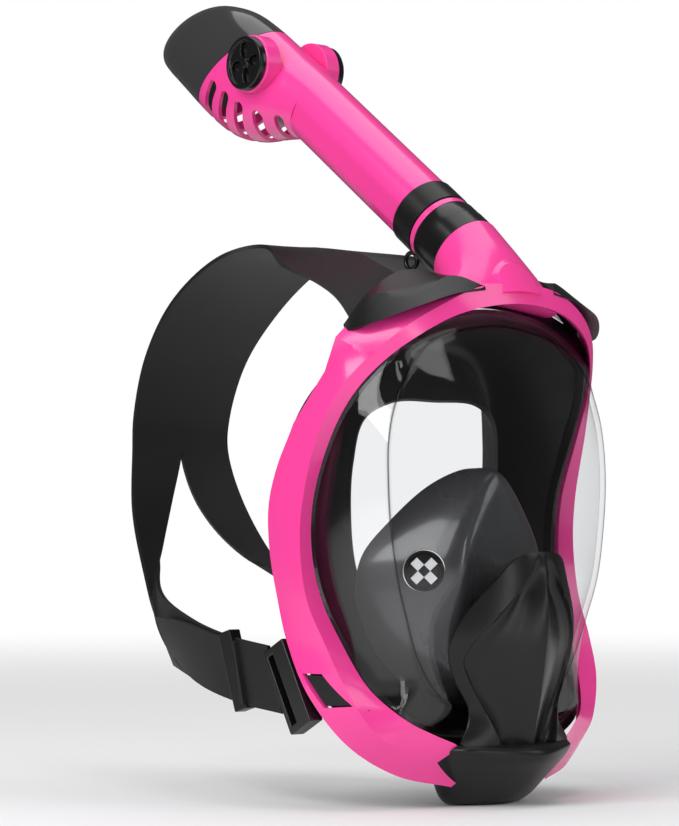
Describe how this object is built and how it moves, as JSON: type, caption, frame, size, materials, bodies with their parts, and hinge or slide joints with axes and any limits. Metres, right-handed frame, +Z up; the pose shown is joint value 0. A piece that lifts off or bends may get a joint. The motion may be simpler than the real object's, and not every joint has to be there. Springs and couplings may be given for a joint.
{
  "type": "full face snorkel mask",
  "caption": "Full face snorkel mask with a clear visor in a pink frame, breathing cup, chin drain, twist-lock dry-top snorkel and a four-armed head strap.",
  "frame": {"origin": "middle of the plane where the wearer's face meets the skirt", "axes": "+Z up the face, -Y the way the wearer looks, +X the wearer's left"},
  "size_m": [0.2, 0.3084, 0.4401],
  "materials": {
    "pink_shell": "satin gloss moulded plastic",
    "black_shell": "satin moulded plastic",
    "clear_lens": "clear polycarbonate, polished",
    "smoke_dome": "smoky translucent plastic, polished",
    "black_silicone": "satin liquid silicone",
    "smoke_silicone": "thin translucent silicone",
    "strap_rubber": "matte elastic strap",
    "white_float": "closed foam float"
  },
  "bodies": {
    "mask": {"frame_shell": "pink_shell", "visor_lens": "clear_lens", "skirt_retainer": "black_shell", "face_skirt": "black_silicone", "breathing_cup": "smoke_silicone", "cup_valve_grille_R": "black_shell", "cup_valve_grille_L": "black_shell", "chin_cover": "black_shell", "chin_drain_block": "black_shell", "snorkel_socket": "pink_shell", "socket_collar": "black_shell", "strap_back": "strap_rubber", "strap_upper_arm_R": "strap_rubber", "strap_upper_arm_L": "strap_rubber", "strap_lower_arm_R": "strap_rubber", "strap_lower_arm_L": "strap_rubber", "upper_clip_R": "black_shell", "upper_clip_L": "black_shell", "lower_buckle_R": "black_shell", "lower_buckle_L": "black_shell", "strap_keeper_R": "black_shell", "strap_keeper_L": "black_shell"},
    "lock_ring_body": {"lock_ring": "pink_shell"},
    "snorkel": {"tube_collar": "black_shell", "spigot_seal": "black_silicone", "tether_loop": "black_shell", "snorkel_tube": "pink_shell", "tube_divider": "smoke_dome", "float_guide": "smoke_dome", "vent_head": "pink_shell", "cap_dome": "smoke_dome", "vent_disc_R": "black_shell", "vent_disc_L": "black_shell"},
    "float": {"dry_top_float": "white_float"},
    "cup_flap_R": {"cup_valve_flap_R": "smoke_silicone"},
    "cup_flap_L": {"cup_valve_flap_L": "smoke_silicone"},
    "chin_flap": {"chin_drain_flap": "smoke_silicone"},
    "button_R": {"release_button_R": "black_shell"},
    "button_L": {"release_button_L": "black_shell"}
  },
  "joints": [
    {"name": "twist_lock", "type": "hinge", "parent": "mask", "child": "lock_ring_body", "pos_m": [0, -0.021, 0.1637], "axis": [0, 0.7986, 0.6018], "range_deg": [0, 25]},
    {"name": "snorkel_pull", "type": "slide", "parent": "lock_ring_body", "child": "snorkel", "axis": [0, 0.7986, 0.6018], "range_m": [0, 0.03]},
    {"name": "float_rise", "type": "slide", "parent": "snorkel", "child": "float", "axis": [0, 0.7986, 0.6018], "range_m": [0, 0.012]},
    {"name": "cup_flap_R_lift", "type": "slide", "parent": "mask", "child": "cup_flap_R", "axis": [0.7154, 0.6909, -0.1045], "range_m": [0, 0.0015], "stiffness_N_per_m": 20},
    {"name": "cup_flap_L_lift", "type": "slide", "parent": "mask", "child": "cup_flap_L", "axis": [-0.7154, 0.6909, -0.1045], "range_m": [0, 0.0015], "stiffness_N_per_m": 20},
    {"name": "chin_flap_drop", "type": "slide", "parent": "mask", "child": "chin_flap", "axis": [0, 0, -1], "range_m": [0, 0.0025], "stiffness_N_per_m": 30},
    {"name": "button_R_press", "type": "slide", "parent": "mask", "child": "button_R", "axis": [1, 0, 0], "range_m": [0, 0.002], "stiffness_N_per_m": 400},
    {"name": "button_L_press", "type": "slide", "parent": "mask", "child": "button_L", "axis": [-1, 0, 0], "range_m": [0, 0.002], "stiffness_N_per_m": 400}
  ]
}
